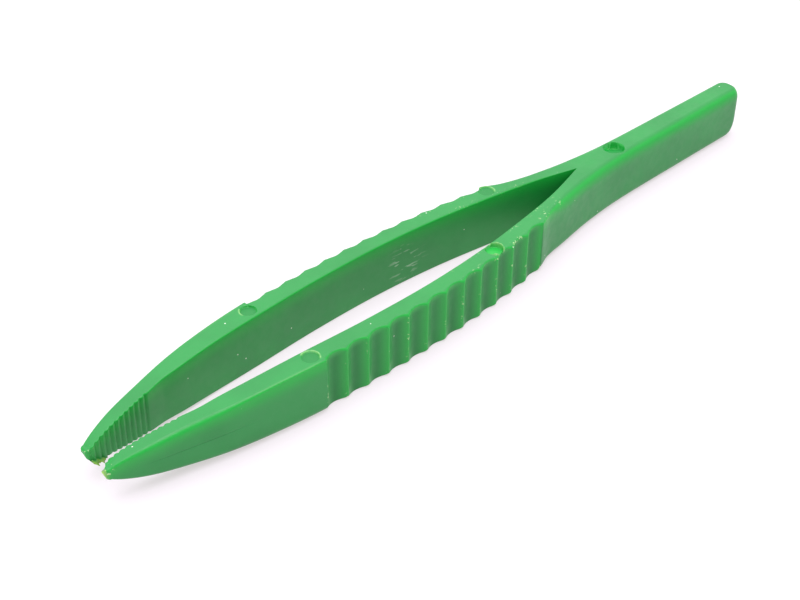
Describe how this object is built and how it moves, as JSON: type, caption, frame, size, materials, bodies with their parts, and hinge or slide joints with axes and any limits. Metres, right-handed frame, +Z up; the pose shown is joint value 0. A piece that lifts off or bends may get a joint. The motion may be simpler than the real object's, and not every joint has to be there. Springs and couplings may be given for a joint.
{
  "type": "plastic tweezers",
  "caption": "Moulded plastic tweezers: flat bar handle, two bowed springy arms with ribbed finger grips, and blunt toothed jaws for picking up small parts.",
  "frame": {"origin": "under the middle of the tool, on the plane it rests on", "axes": "+X towards the tips, +Y towards the left arm, +Z up from the resting face; the arms mirror each other in the XZ plane"},
  "size_m": [0.125, 0.017, 0.0085],
  "materials": {
    "green_plastic": "satin moulded polypropylene"
  },
  "bodies": {
    "handle": {"handle": "green_plastic", "left_root_flexure": "green_plastic", "right_root_flexure": "green_plastic"},
    "left_arm": {"left_arm": "green_plastic", "left_nose_flexure": "green_plastic"},
    "right_arm": {"right_arm": "green_plastic", "right_nose_flexure": "green_plastic"},
    "left_jaw": {"left_jaw": "green_plastic"},
    "right_jaw": {"right_jaw": "green_plastic"}
  },
  "joints": [
    {"name": "left_arm_squeeze", "type": "hinge", "parent": "handle", "child": "left_arm", "pos_m": [-0.018, 0.00307, 0.00425], "axis": [0, 0, -1], "range_deg": [0, 3.27], "stiffness_Nm_per_rad": 1.5, "deforming": ["left_root_flexure"]},
    {"name": "right_arm_squeeze", "type": "hinge", "parent": "handle", "child": "right_arm", "pos_m": [-0.018, -0.00307, 0.00425], "axis": [0, 0, 1], "range_deg": [0, 3.27], "stiffness_Nm_per_rad": 1.5, "deforming": ["right_root_flexure"]},
    {"name": "left_jaw_roll", "type": "hinge", "parent": "left_arm", "child": "left_jaw", "pos_m": [0.04775, 0.00504, 0.00425], "axis": [0, 0, 1], "range_deg": [0, 12.71], "deforming": ["left_nose_flexure"]},
    {"name": "right_jaw_roll", "type": "hinge", "parent": "right_arm", "child": "right_jaw", "pos_m": [0.04775, -0.00504, 0.00425], "axis": [0, 0, -1], "range_deg": [0, 12.71], "deforming": ["right_nose_flexure"]}
  ],
  "couplings": [
    {"joint": "right_arm_squeeze", "follows": "left_arm_squeeze", "ratio": 1},
    {"joint": "left_jaw_roll", "follows": "left_arm_squeeze", "ratio": 3.885},
    {"joint": "right_jaw_roll", "follows": "left_arm_squeeze", "ratio": 3.885}
  ]
}
